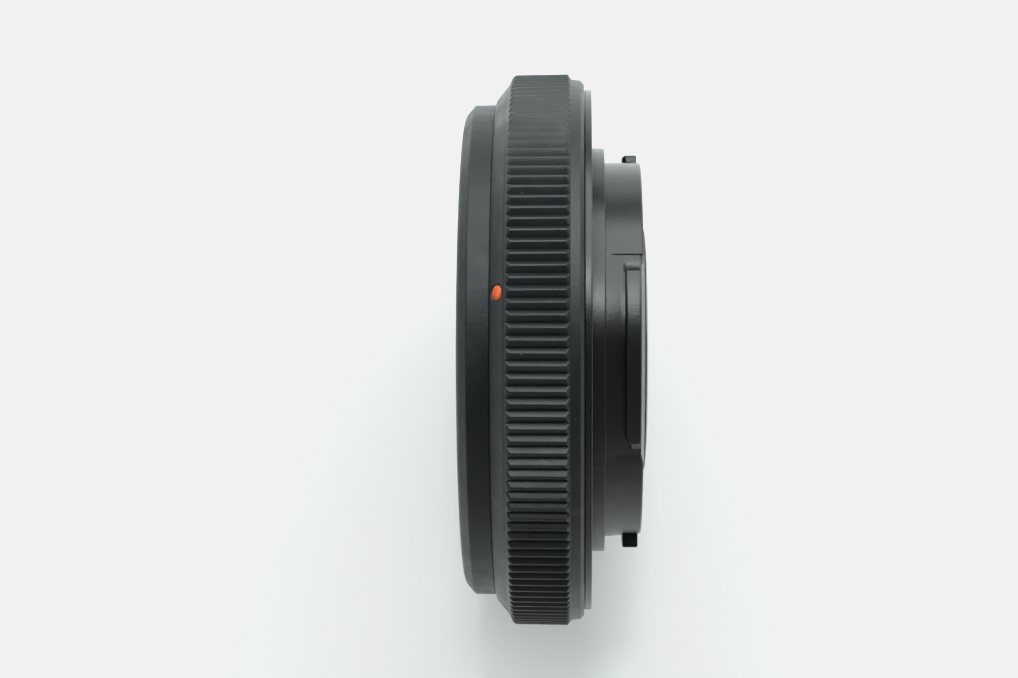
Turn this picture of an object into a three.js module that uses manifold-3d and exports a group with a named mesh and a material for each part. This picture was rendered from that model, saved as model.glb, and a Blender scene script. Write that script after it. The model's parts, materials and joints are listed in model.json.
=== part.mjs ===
// Flat prime lens for a three-lug bayonet mount: a ribbed fixed grip, a recessed focus lever on the front,
// a two-blade cover over the glass, and five elements in a cell that a cam ring slides along the axis.
//
// Millimetres, Z up. Y is the optical axis: the front looks along -Y and the mount faces +Y.
// Lengths along Y are counted from the flange face that seats on the camera, and the whole lens is then
// moved so that the origin is halfway along it. Angles are in degrees about Y, from +Z (the index dot)
// towards +X.

import * as THREE from "three";
import { mergeVertices } from "three/addons/utils/BufferGeometryUtils.js";
import Module from "manifold-3d";

const wasm = await Module();
wasm.setup();

// ---------------------------------------------------------------- driving dimensions

const FRONT_Y = -12.7; // front rim, so the lens stands this far out of the camera
const REAR_Y = 5.6; // rear of the dome around the last element
const FIT = 0.05; // gap left between two pieces that rest on each other

// Grip: a cone, a ribbed length that widens a little rearwards, and a smooth band.
const GRIP_FRONT_Y = -9.58;
const CONE_FRONT = { r: 25.5, y: -9.5 };
const CONE_REAR = { r: 27.0, y: -8.3 };
const GRIP_FRONT_R = 28.0;
const GRIP_R = 28.1;
const GRIP_LAND_FRONT_Y = -7.7;
const GRIP_LAND_REAR_Y = -2.4;
const RIBS = 150;
const RIB_FLOOR_R = 27.65;
const RIB_LAND = 0.1; // width of a rib's flat crest
const BAND_FRONT = { r: 27.58, y: -2.03 };
const BAND_REAR = { r: 27.45, y: -1.1 };
const GRIP_REAR_Y = -0.75; // face that the mount is screwed to
const BORE_R = 21.9; // inside of the grip body
const GRIP_WEB_Y = -3.2; // front of the web that carries the chassis and the mount
const DOT_R = 0.78;

// Front bezel and the plate on its recessed floor.
const COLLAR_R = 24.97;
const COLLAR_FRONT_Y = -11.7;
const RIM_R = 23.8; // flat front rim, outer edge
const RECESS_R = 20.3; // recess inside the rim
const RECESS_Y = -11.7;
const BEZEL_BACK_Y = -11.1;
const WINDOW_R = 7.2; // clear opening in front of the glass

// Bayonet.
const FLANGE_R = 26.5;
const FLANGE_FRONT_Y = -0.7;
const SPIGOT_R = 20.6;
const SPIGOT_Y = 1.3;
const BARREL_R = 19.1;
const BARREL_INNER_R = 17.2;
const BARREL_Y = 4.95;
const LUG_R = 20.22;
const LUG_FRONT_Y = 3.15;
const LUG_REAR_Y = 4.7;
const LUG_HALF_ANGLE = 24.4;
const LUG_ANGLES = [14.1, 117.9, 251.6];
const LUG_ZONE_HALF_ANGLE = 31.1; // the barrel ends flush with the rear of the lugs in these zones
const LOCK_PIN_ANGLE = 100;

// Screws, each set on its own circle.
const SCREW_CIRCLE_R = 18.7; // bezel from the front and chassis from the rear
const SCREW_ANGLES = [20, 130, 250];
const MOUNT_SCREW_R = 23.3;
const MOUNT_SCREW_ANGLES = [45, 135, 225, 315];
const COVER_SCREW_R = 14.9;
const COVER_SCREW_ANGLES = [73, 193, 313];

// Focus lever and the cam ring that it turns.
const LEVER_R = 17.0; // radius that the lever's post travels on
const LEVER_ANGLE = 68.0; // where the post stands at infinity focus
const LEVER_TO_CLOSED = -36.0;
const LEVER_TO_NEAR = 20.0;
const LEVER_Y = -10.1; // front face of the lever's plate
const LEVER_SCREWS = { r: 13.2, x: 2.2 };
const POST_R = 0.9;
const KNOB_Y = -12.4; // front of the finger pad, under its ridges
const CAM_FRONT_Y = -9.6;
const CAM_INNER_R = 9.9;
const DETENT = { r: 17.2, angle: 178, noseAngle: 190 };
const GUIDE_SCREW = { r: 9.6, angle: 180 };

// Cover blades.
const PIVOT = { x: -16.5, z: 4.5 }; // upper blade; the lower blade is the same turned half round
const BLADE_R = 7.6;
const BLADE_FRONT_Y = -11.0;
const BLADE_BACK_Y = -10.65;
const BLADE_OPEN_ANGLE = -29.0; // how far each blade has swung from closed at rest

// Lens cell, which the cam ring's slots carry forward as the lever turns towards near focus.
const CELL_TRAVEL_PER_DEGREE = (0.8 * Math.PI) / 180;
const FOLLOWER_ANGLES = [10, 130, 250];
const PIN_Y = -7.6;
const PIN_R = 0.7;
const ELEMENT_R = 4.8; // all elements behind the front one
const FRONT_ELEMENT_R = 8.25;

// Facets round a turned piece, by its size.
const ROUND = 48;
const INNER = 30;
const OPTIC = 20;
const SMALL = 10;

// ---------------------------------------------------------------- materials

const material = (color, roughness, metalness = 0) =>
  new THREE.MeshStandardMaterial({ color, roughness, metalness, flatShading: true });

const blackMatte = material(0x1b1c1c, 0.55);
const blackGloss = material(0x141516, 0.25);
const blackFlat = material(0x0c0c0c, 0.9);
const greyPrint = material(0x242526, 0.6);
const orangePaint = material(0xf05a28, 0.5);
const steel = material(0x9a9a98, 0.35, 1);
const blackSteel = material(0x222222, 0.4, 1);
const brass = material(0xb08d4a, 0.35, 1);
const glass = new THREE.MeshStandardMaterial({
  color: 0xaab8c0,
  roughness: 0.05,
  transparent: true,
  opacity: 0.35,
  flatShading: true,
});

// ---------------------------------------------------------------- geometry helpers

const radians = THREE.MathUtils.degToRad;

// Point on a circle of radius r about the optical axis.
const onCircle = (r, angle, y = 0) =>
  new THREE.Vector3(r * Math.sin(radians(angle)), y, r * Math.cos(radians(angle)));

function solid(geometry) {
  geometry.deleteAttribute("normal");
  geometry.deleteAttribute("uv");
  const merged = mergeVertices(geometry, 1e-4);
  return new wasm.Manifold(
    new wasm.Mesh({
      numProp: 3,
      vertProperties: merged.attributes.position.array,
      triVerts: new Uint32Array(merged.index.array),
    }),
  );
}

const cut = (body, ...tools) => tools.reduce((left, tool) => left.subtract(tool), body);
const join = (body, ...others) => others.reduce((sum, other) => sum.add(other), body);

// Solid of revolution about Y from [radius, y] corners. A profile that starts off the axis is closed.
function turned(profile, facets = ROUND) {
  const points = profile.map(([r, y]) => new THREE.Vector2(r, y));
  if (THREE.ShapeUtils.area(points) < 0) points.reverse();
  if (points[0].x > 0) points.push(points[0].clone());
  return solid(new THREE.LatheGeometry(points, facets));
}

const ring = (r0, r1, y0, y1, facets) =>
  turned([[r0, y0], [r1, y0], [r1, y1], [r0, y1]], facets);

// Round bar along Y, standing at a point on the XZ plane.
function bar(r, y0, y1, at = new THREE.Vector3(), rEnd = r) {
  const geometry = new THREE.CylinderGeometry(rEnd, r, y1 - y0, SMALL);
  return solid(geometry.translate(at.x, (y0 + y1) / 2, at.z));
}

// Flat piece of constant thickness, drawn as [x, z] corners or as a THREE.Shape in the same plane.
function slab(outline, y0, y1) {
  const shape = outline instanceof THREE.Shape
    ? outline
    : new THREE.Shape(outline.map(([x, z]) => new THREE.Vector2(x, z)));
  const geometry = new THREE.ExtrudeGeometry(shape, {
    depth: y1 - y0,
    bevelEnabled: false,
    curveSegments: SMALL,
  });
  return solid(geometry.rotateX(Math.PI / 2).translate(0, y1, 0));
}

// Bends a geometry drawn as (angle in degrees, y, radius) round the optical axis.
function bend(geometry) {
  const position = geometry.attributes.position;
  for (let i = 0; i < position.count; i++) {
    const p = onCircle(position.getZ(i), position.getX(i), position.getY(i));
    position.setXYZ(i, p.x, p.y, p.z);
  }
  return solid(geometry);
}

// Block between two radii, two heights and two angles.
function arcBlock(r0, r1, y0, y1, angle0, angle1) {
  const steps = Math.max(1, Math.round((angle1 - angle0) / 7));
  const geometry = new THREE.BoxGeometry(angle1 - angle0, y1 - y0, r1 - r0, steps, 1, 1);
  return bend(geometry.translate((angle0 + angle1) / 2, (y0 + y1) / 2, (r0 + r1) / 2));
}

// Curved slot that the lever's post travels in, with a little room all round.
function leverSlot(y0, y1) {
  const half = POST_R + 0.2;
  const from = LEVER_ANGLE + LEVER_TO_CLOSED;
  const to = LEVER_ANGLE + LEVER_TO_NEAR;
  return join(
    arcBlock(LEVER_R - half, LEVER_R + half, y0, y1, from, to),
    bar(half, y0, y1, onCircle(LEVER_R, from)),
    bar(half, y0, y1, onCircle(LEVER_R, to)),
  );
}

// Points of a spherical surface from its rim at radius r to its vertex on the axis. Negative curvature
// radius bulges towards -Y.
function dish(vertexY, curvature, r, steps = 3) {
  const points = [];
  for (let i = steps; i >= 0; i--) {
    const x = (r * i) / steps;
    const sag = Math.abs(curvature) - Math.sqrt(curvature ** 2 - x ** 2);
    points.push([x, vertexY - Math.sign(curvature) * sag]);
  }
  return points;
}

// Lens element: front surface, cylindrical edge, rear surface.
const element = (front, rear) =>
  turned(
    [...dish(front.y, front.curve, ELEMENT_R).reverse(), ...dish(rear.y, rear.curve, ELEMENT_R)],
    OPTIC,
  );

function piece(name, shape, look) {
  let geometry = shape;
  if (shape.getMesh) {
    const { vertProperties, triVerts } = shape.getMesh();
    geometry = new THREE.BufferGeometry();
    geometry.setAttribute("position", new THREE.BufferAttribute(vertProperties, 3));
    geometry.setIndex(new THREE.BufferAttribute(triVerts, 1));
    geometry.computeVertexNormals();
  }
  const mesh = new THREE.Mesh(geometry, look);
  mesh.name = name;
  return mesh;
}

// Copies of one shape standing on a circle, named NAME_1, NAME_2 and so on.
function onRing(name, shape, look, r, angles) {
  return angles.map((angle, i) => {
    const copy = piece(`${name}_${i + 1}`, shape, look);
    copy.position.copy(onCircle(r, angle));
    return copy;
  });
}

// Screw whose head's flat end is at headY and whose shank runs towards `way` (+1 is rearwards).
function screw(headR, headHeight, shankR, length, headY, way, countersunk) {
  const neck = headY + way * headHeight;
  const tip = headY + way * length;
  const profile = [
    [0, headY],
    [headR, headY],
    [countersunk ? shankR : headR, neck],
    [shankR, neck],
    [shankR, tip],
    [0, tip],
  ];
  return turned(countersunk ? profile.filter((_, i) => i !== 3) : profile, SMALL);
}

const stations = (r, angles, shape) => angles.map((angle) => shape(onCircle(r, angle)));

// ---------------------------------------------------------------- housing

function gripBody() {
  const halfPitch = Math.PI / RIBS;
  const halfGroove = halfPitch * GRIP_R - RIB_LAND / 2;
  const peakR = RIB_FLOOR_R + ((GRIP_R - RIB_FLOOR_R) * halfPitch * GRIP_R) / halfGroove;
  const star = [];
  for (let i = 0; i < 2 * RIBS; i++) {
    const p = onCircle(i % 2 ? peakR : RIB_FLOOR_R, (i * 180) / RIBS);
    star.push([p.x, p.z]);
  }
  const outside = turned(
    [
      [0, GRIP_FRONT_Y],
      [COLLAR_R + 0.1, GRIP_FRONT_Y],
      [CONE_FRONT.r, CONE_FRONT.y],
      [CONE_REAR.r, CONE_REAR.y],
      [GRIP_FRONT_R, GRIP_LAND_FRONT_Y],
      [GRIP_R, GRIP_LAND_REAR_Y],
      [BAND_FRONT.r, BAND_FRONT.y],
      [BAND_REAR.r, BAND_REAR.y],
      [BAND_REAR.r - 0.37, GRIP_REAR_Y],
      [0, GRIP_REAR_Y],
    ],
    RIBS,
  );
  const grooves = cut(
    ring(BORE_R, GRIP_R + 1, GRIP_FRONT_Y - 1, BAND_FRONT.y),
    slab(star, GRIP_FRONT_Y - 2, BAND_FRONT.y + 1),
  );
  const webHoleR = 15.2;
  const bore = turned([
    [0, GRIP_FRONT_Y - 1],
    [BORE_R, GRIP_FRONT_Y - 1],
    [BORE_R, GRIP_WEB_Y],
    [webHoleR, GRIP_WEB_Y],
    [webHoleR, 0],
    [0, 0],
  ]);
  const coring = ring(24.7, 26.3, -7.2, 0);
  const mountScrewHoles = stations(MOUNT_SCREW_R, MOUNT_SCREW_ANGLES, (at) => bar(0.75, -4.2, 0, at));
  const chassisScrewHoles = stations(SCREW_CIRCLE_R, SCREW_ANGLES, (at) =>
    join(bar(0.8, -4, 0, at), bar(1.6, -1.75, 0, at)),
  );
  const dotRecess = bar(DOT_R + 0.12, -0.4, 1).transform(dotPlacement().toArray());
  return cut(outside, grooves, bore, coring, ...mountScrewHoles, ...chassisScrewHoles, dotRecess);
}

// Frame of the index dot: its origin on the middle of the cone at the top, its Y axis out of the cone.
function dotPlacement() {
  const rise = CONE_REAR.r - CONE_FRONT.r;
  const run = CONE_REAR.y - CONE_FRONT.y;
  const middle = new THREE.Vector3(0, CONE_FRONT.y + run / 2, CONE_FRONT.r + rise / 2);
  const outwards = new THREE.Vector3(0, -rise, run).normalize();
  const turn = new THREE.Quaternion().setFromUnitVectors(new THREE.Vector3(0, 1, 0), outwards);
  return new THREE.Matrix4().compose(middle, turn, new THREE.Vector3(1, 1, 1));
}

function indexDot() {
  const dot = piece("index_dot", bar(DOT_R, -0.33, -0.12), orangePaint);
  dot.applyMatrix4(dotPlacement());
  return dot;
}

function frontBezel() {
  const collarRearY = GRIP_FRONT_Y - FIT;
  const skirtRearY = -7.8;
  const skirtR = BORE_R - 0.3;
  const moulding = turned([
    [WINDOW_R, BEZEL_BACK_Y],
    [WINDOW_R + 0.8, RECESS_Y],
    [RECESS_R, RECESS_Y],
    [RECESS_R, FRONT_Y],
    [RIM_R, FRONT_Y],
    [COLLAR_R, COLLAR_FRONT_Y],
    [COLLAR_R, collarRearY],
    [skirtR, collarRearY],
    [skirtR, skirtRearY],
    [skirtR - 0.7, skirtRearY],
    [skirtR - 0.7, BEZEL_BACK_Y],
  ]);
  const bosses = stations(SCREW_CIRCLE_R, SCREW_ANGLES, (at) => bar(1.3, BEZEL_BACK_Y - 0.2, -10.6, at));
  const holes = stations(SCREW_CIRCLE_R, SCREW_ANGLES, (at) =>
    join(bar(0.75, -12, -10, at), bar(1.3, RECESS_Y, RECESS_Y + 0.5, at, 0.75)),
  );
  return cut(join(moulding, ...bosses), ...holes, leverSlot(-12.5, -11));
}

const scalePlate = () => cut(ring(8.6, 20.0, -11.98, RECESS_Y - FIT), leverSlot(-12.5, -11));

function bayonetMount() {
  const ledgeR = 9.5; // inner edge of the floor that the rear cover is screwed to
  const ledgeY = 1.4;
  const turning = turned([
    [16, FLANGE_FRONT_Y],
    [FLANGE_R, FLANGE_FRONT_Y],
    [FLANGE_R, 0],
    [SPIGOT_R, 0],
    [SPIGOT_R, SPIGOT_Y],
    [BARREL_R, SPIGOT_Y],
    [BARREL_R, BARREL_Y],
    [BARREL_INNER_R, BARREL_Y],
    [BARREL_INNER_R, ledgeY],
    [ledgeR, ledgeY],
    [ledgeR, 0],
    [16, 0],
  ]);
  const lugs = LUG_ANGLES.map((angle) =>
    arcBlock(
      BARREL_R - 0.5,
      LUG_R,
      LUG_FRONT_Y,
      LUG_REAR_Y,
      angle - LUG_HALF_ANGLE,
      angle + LUG_HALF_ANGLE,
    ),
  );
  const lugZones = LUG_ANGLES.map((angle) =>
    arcBlock(
      BARREL_INNER_R - 1,
      LUG_R + 1,
      LUG_REAR_Y,
      BARREL_Y + 1,
      angle - LUG_ZONE_HALF_ANGLE,
      angle + LUG_ZONE_HALF_ANGLE,
    ),
  );
  const screwHoles = stations(MOUNT_SCREW_R, MOUNT_SCREW_ANGLES, (at) =>
    join(bar(0.8, -1, 1, at), bar(0.8, -0.6, 0, at, 1.45)),
  );
  const coverScrewHoles = stations(COVER_SCREW_R, COVER_SCREW_ANGLES, (at) => bar(0.65, -1, 2, at));
  const lockPinSlot = arcBlock(21.6, 24.2, -1, 1, LOCK_PIN_ANGLE - 2, LOCK_PIN_ANGLE + 2);
  return cut(join(turning, ...lugs), ...lugZones, ...screwHoles, ...coverScrewHoles, lockPinSlot);
}

function rearCover() {
  const flangeR = BARREL_INNER_R - 0.3;
  const shell = turned(
    [
      [flangeR, 1.45],
      [flangeR, 2.25],
      [13.5, 2.25],
      [13.5, 4.98],
      [12.3, 5.28],
      [12.3, 5.37],
      [10.4, REAR_Y],
      [7.0, REAR_Y],
      [7.0, 4.9],
      [11.8, 4.9],
      [11.8, 1.45],
    ],
    INNER,
  );
  return cut(shell, ...stations(COVER_SCREW_R, COVER_SCREW_ANGLES, (at) => bar(0.7, 1, 3, at)));
}

function rearMask() {
  const gate = solid(new THREE.BoxGeometry(9.6, 2, 7.4).translate(0, 4.65, 0));
  const plate = turned(
    [
      [0, 4.5],
      [11.6, 4.5],
      [11.6, 4.8],
      [0, 4.8],
    ],
    INNER,
  );
  return cut(plate, gate);
}

function chassis() {
  const plateFrontY = -4.3;
  const plateRearY = GRIP_WEB_Y - FIT;
  const tubeR = 13.7;
  const turning = turned(
    [
      [6.6, plateFrontY],
      [tubeR - 1, plateFrontY],
      [tubeR - 1, -8.9],
      [tubeR, -8.9],
      [tubeR, plateFrontY],
      [BORE_R - 0.4, plateFrontY],
      [BORE_R - 0.4, plateRearY],
      [6.6, plateRearY],
    ],
    INNER,
  );
  const posts = stations(SCREW_CIRCLE_R, SCREW_ANGLES, (at) => bar(1.7, -10.2, -4, at));
  const postHoles = stations(SCREW_CIRCLE_R, SCREW_ANGLES, (at) =>
    join(bar(0.7, -6.5, -3, at), bar(0.7, -11, -8.4, at)),
  );
  const springPost = onCircle(DETENT.r, DETENT.angle);
  return cut(
    join(turning, ...posts, bar(1.2, -8.95, -4, springPost)),
    ...postHoles,
    bar(0.55, -9.5, -6.5, springPost),
    bar(0.6, -5, -3, onCircle(GUIDE_SCREW.r, GUIDE_SCREW.angle)),
  );
}

// Key that keeps the lens cell from turning.
function guideKey() {
  const key = solid(new THREE.BoxGeometry(2.2, 0.8, 5.2).translate(0, -2.8, -8.4));
  return cut(key, bar(0.6, -4, -2, onCircle(GUIDE_SCREW.r, GUIDE_SCREW.angle)));
}

// Leaf that presses on the cam ring's rim, with a foot under its screw.
function detentSpring() {
  const frontY = CAM_FRONT_Y;
  const rearY = -9.0;
  const at = onCircle(DETENT.r, DETENT.angle);
  const foot = bar(1.5, rearY - 0.15, rearY, at);
  const bridge = arcBlock(15.4, DETENT.r, rearY - 0.15, rearY, DETENT.angle - 2, DETENT.angle + 2);
  const leaf = arcBlock(15.4, 15.55, frontY, rearY, DETENT.angle - 2, DETENT.noseAngle + 4);
  const nose = bar(0.35, frontY, rearY, onCircle(15.48, DETENT.noseAngle));
  return cut(join(foot, bridge, leaf, nose), bar(0.6, -10, -8, at));
}

// Thin washer with three waves, which takes up the cam ring's end play.
function springWasher() {
  const middleY = -4.6;
  const half = 0.06;
  const section = [
    new THREE.Vector2(10.2, -half),
    new THREE.Vector2(12.2, -half),
    new THREE.Vector2(12.2, half),
    new THREE.Vector2(10.2, half),
    new THREE.Vector2(10.2, -half),
  ];
  const geometry = new THREE.LatheGeometry(section, INNER);
  const position = geometry.attributes.position;
  for (let i = 0; i < position.count; i++) {
    const wave = 2 * half * Math.cos(3 * Math.atan2(position.getX(i), position.getZ(i)));
    position.setY(i, middleY + position.getY(i) + wave);
  }
  return solid(geometry);
}

function barrierBasePlate() {
  const holeR = 0.75;
  const pinHoles = [1, -1].map((side) =>
    bar(holeR, -11, -10, new THREE.Vector3(side * PIVOT.x, 0, side * PIVOT.z)),
  );
  const screwHoles = stations(SCREW_CIRCLE_R, SCREW_ANGLES, (at) => bar(holeR, -11, -10, at));
  return cut(ring(8.8, 20.6, -10.55, -10.25), leverSlot(-11, -10), ...pinHoles, ...screwHoles);
}

const pivotPin = () => bar(0.7, BLADE_FRONT_Y - FIT, -10.25);

function housing() {
  const group = new THREE.Group();
  const bezelScrew = screw(1.2, 0.45, 0.65, 3.0, RECESS_Y + FIT, 1, true);
  const chassisScrew = screw(1.4, 0.7, 0.65, 5.2, -0.85, -1, false);
  const mountScrew = screw(1.35, 0.55, 0.7, 3.9, -FIT, -1, true);
  const coverScrew = screw(1.2, 0.55, 0.58, 2.6, 2.85, -1, false);
  group.add(
    piece("grip_body", gripBody(), blackMatte),
    indexDot(),
    piece("front_bezel", frontBezel(), blackMatte),
    piece("scale_plate", scalePlate(), greyPrint),
    piece("bayonet_mount", bayonetMount(), blackGloss),
    piece("rear_cover", rearCover(), blackGloss),
    piece("rear_mask", rearMask(), blackFlat),
    piece("chassis", chassis(), blackMatte),
    piece("guide_key", guideKey(), steel),
    piece("guide_key_screw", screw(1.0, 0.5, 0.5, 2.3, -1.8, -1, false), steel),
    piece("detent_spring", detentSpring(), steel),
    piece("detent_spring_screw", screw(1.1, 0.5, 0.5, 2.6, -9.7, 1, false), steel),
    piece("spring_washer", springWasher(), steel),
    piece("barrier_base_plate", barrierBasePlate(), blackFlat),
    piece("blade_pivot_pin_1", pivotPin(), steel),
    piece("blade_pivot_pin_2", pivotPin(), steel),
    ...onRing("bezel_screw", bezelScrew, blackSteel, SCREW_CIRCLE_R, SCREW_ANGLES),
    ...onRing("chassis_screw", chassisScrew, steel, SCREW_CIRCLE_R, SCREW_ANGLES),
    ...onRing("mount_screw", mountScrew, blackSteel, MOUNT_SCREW_R, MOUNT_SCREW_ANGLES),
    ...onRing("rear_cover_screw", coverScrew, blackSteel, COVER_SCREW_R, COVER_SCREW_ANGLES),
  );
  const place = (name, at) => group.getObjectByName(name).position.set(at.x, 0, at.z);
  place("guide_key_screw", onCircle(GUIDE_SCREW.r, GUIDE_SCREW.angle));
  place("detent_spring_screw", onCircle(DETENT.r, DETENT.angle));
  place("blade_pivot_pin_1", PIVOT);
  place("blade_pivot_pin_2", { x: -PIVOT.x, z: -PIVOT.z });
  return group;
}

// ---------------------------------------------------------------- focus ring

// Slot that a follower pin rides in: a block that climbs along a helix, bent round the tube.
function camSlot(angle) {
  const room = 5; // degrees past the pin's travel at each end
  const from = -LEVER_TO_NEAR - room;
  const to = -LEVER_TO_CLOSED + room;
  const geometry = new THREE.BoxGeometry(to - from, 2 * PIN_R + 0.2, 4, 8, 1, 1);
  geometry.translate((from + to) / 2, PIN_Y, 11.2);
  const position = geometry.attributes.position;
  for (let i = 0; i < position.count; i++) {
    position.setY(i, position.getY(i) + position.getX(i) * CELL_TRAVEL_PER_DEGREE);
  }
  return bend(geometry.translate(angle, 0, 0));
}

function camRing() {
  const tubeR = 12.4;
  const rimR = 15;
  const rimRearY = CAM_FRONT_Y + 0.5;
  const rearY = -4.9;
  const turning = turned(
    [
      [CAM_INNER_R, CAM_FRONT_Y],
      [rimR, CAM_FRONT_Y],
      [rimR, rimRearY],
      [tubeR, rimRearY],
      [tubeR, rearY],
      [CAM_INNER_R, rearY],
    ],
    INNER,
  );
  const notches = [0, -LEVER_TO_CLOSED, -LEVER_TO_NEAR].map((turn) =>
    bar(0.5, -10, -9, onCircle(rimR + 0.3, DETENT.noseAngle + turn)),
  );
  const screwHoles = [-LEVER_SCREWS.x, LEVER_SCREWS.x].map((x) => {
    const angle = LEVER_ANGLE + THREE.MathUtils.radToDeg(Math.atan2(x, LEVER_SCREWS.r));
    return bar(0.6, -10, -9, onCircle(Math.hypot(x, LEVER_SCREWS.r), angle));
  });
  return cut(turning, ...FOLLOWER_ANGLES.map(camSlot), ...notches, ...screwHoles);
}

// Drawn pointing along +Z and turned to its place.
function focusLever() {
  const footHalf = 3.2;
  const tipR = 1.3;
  const shoulder = LEVER_R - 1;
  const outline = new THREE.Shape([
    new THREE.Vector2(-footHalf, 10.6),
    new THREE.Vector2(footHalf, 10.6),
    new THREE.Vector2(footHalf, 14.3),
    new THREE.Vector2(tipR, shoulder),
  ]);
  outline.absarc(0, LEVER_R, tipR, 0, Math.PI, false);
  outline.lineTo(-tipR, shoulder);
  outline.lineTo(-footHalf, 14.3);
  const tip = new THREE.Vector3(0, 0, LEVER_R);
  const holes = [-LEVER_SCREWS.x, LEVER_SCREWS.x].map((x) => {
    const at = new THREE.Vector3(x, 0, LEVER_SCREWS.r);
    return join(bar(0.6, -11, -9, at), bar(0.95, LEVER_Y, LEVER_Y + 0.4, at, 0.6));
  });
  const plateRearY = CAM_FRONT_Y - FIT;
  return join(
    cut(slab(outline, LEVER_Y, plateRearY), ...holes),
    bar(POST_R, KNOB_Y + 0.4, plateRearY - FIT, tip),
    bar(0.5, KNOB_Y + 0.1, plateRearY - FIT, tip),
  );
}

// Finger pad of the lever, with three grip ridges across it.
function leverKnob() {
  const padHalfAngle = 6.5;
  const ridgeHalfAngle = 1.1;
  const pad = arcBlock(LEVER_R - 1.8, LEVER_R + 1.8, KNOB_Y, KNOB_Y + 0.37, -padHalfAngle, padHalfAngle);
  const ridges = [-4, 0, 4].map((angle) =>
    arcBlock(
      LEVER_R - 1.5,
      LEVER_R + 1.5,
      KNOB_Y - 0.2,
      KNOB_Y + 0.05,
      angle - ridgeHalfAngle,
      angle + ridgeHalfAngle,
    ),
  );
  const postHole = bar(0.55, KNOB_Y + 0.05, KNOB_Y + 1, new THREE.Vector3(0, 0, LEVER_R));
  return cut(join(pad, ...ridges), postHole);
}

function focusRing() {
  const group = new THREE.Group();
  const lever = new THREE.Group();
  lever.rotation.y = radians(LEVER_ANGLE);
  const leverScrew = screw(0.85, 0.35, 0.5, 0.9, LEVER_Y + FIT, 1, true);
  lever.add(
    piece("focus_lever", focusLever(), steel),
    piece("lever_screw_1", leverScrew, steel),
    piece("lever_screw_2", leverScrew, steel),
    piece("lever_knob", leverKnob(), blackMatte),
  );
  lever.getObjectByName("lever_screw_1").position.set(-LEVER_SCREWS.x, 0, LEVER_SCREWS.r);
  lever.getObjectByName("lever_screw_2").position.set(LEVER_SCREWS.x, 0, LEVER_SCREWS.r);
  group.add(piece("cam_ring", camRing(), brass), lever);
  return group;
}

// ---------------------------------------------------------------- cover blades

// A blade drawn in its closed place about its own pivot: half a disc on an arm that ends in an eye.
function blade(name) {
  const half = new THREE.Shape();
  half.absarc(-PIVOT.x, -PIVOT.z, BLADE_R, 0, Math.PI, false);
  const gapBox = new THREE.BoxGeometry(40, 4, 4).translate(20, BLADE_FRONT_Y, -PIVOT.z - 1.9);
  const arm = [
    [0, -1.6],
    [11, -2.6],
    [12, 2.2],
    [0, 1.6],
  ];
  const shape = cut(
    join(
      slab(half, BLADE_FRONT_Y, BLADE_BACK_Y),
      slab(arm, BLADE_FRONT_Y, BLADE_BACK_Y),
      bar(1.7, BLADE_FRONT_Y, BLADE_BACK_Y),
    ),
    solid(gapBox),
    bar(0.8, -12, -10),
  );
  return piece(name, shape, blackMatte);
}

function barrier(name, side) {
  const group = new THREE.Group();
  const swing = new THREE.Group();
  swing.position.set(PIVOT.x, 0, PIVOT.z);
  swing.rotation.y = radians(BLADE_OPEN_ANGLE);
  swing.add(blade(name));
  group.rotation.y = side > 0 ? 0 : Math.PI;
  group.add(swing);
  return group;
}

// ---------------------------------------------------------------- lens cell

function cellBarrel() {
  const seatR = ELEMENT_R + 0.1;
  const headR = 9.4;
  const tubeR = 6.4;
  const turning = turned(
    [
      [headR - 1, -9.3],
      [headR, -9.3],
      [headR, -5.6],
      [tubeR, -5.6],
      [tubeR, 2.4],
      [4.2, 2.4],
      [4.2, 1.4],
      [seatR, 1.4],
      [seatR, -6.0],
      [headR - 1, -6.0],
    ],
    INNER,
  );
  const keyway = solid(new THREE.BoxGeometry(2.5, 9, 3).translate(0, -0.4, -7.05));
  const pinHoles = FOLLOWER_ANGLES.map((angle) => radialBar(PIN_R + FIT, 7, 10, angle));
  return cut(turning, keyway, ...pinHoles);
}

// Round bar pointing out from the axis at the follower pins' height.
function radialBar(r, from, to, angle) {
  const geometry = new THREE.CylinderGeometry(r, r, to - from, SMALL);
  geometry.rotateX(Math.PI / 2).translate(0, PIN_Y, (from + to) / 2);
  return solid(geometry.rotateY(radians(angle)));
}

function retainingRing() {
  const frontY = -9.7;
  const turning = turned(
    [
      [7.5, frontY],
      [9.2, frontY],
      [9.2, -9.35],
      [8.3, -9.35],
      [8.3, -7.95],
      [7.5, -7.95],
    ],
    INNER,
  );
  return cut(turning, solid(new THREE.BoxGeometry(20, 0.6, 1).translate(0, frontY - 0.1, 0)));
}

function frontElement() {
  const front = dish(-9.95, -14, FRONT_ELEMENT_R, 4).reverse();
  return turned([...front, [FRONT_ELEMENT_R, -6.05], ...dish(-8.48, -5.2, 4.4)], INNER);
}

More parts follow.
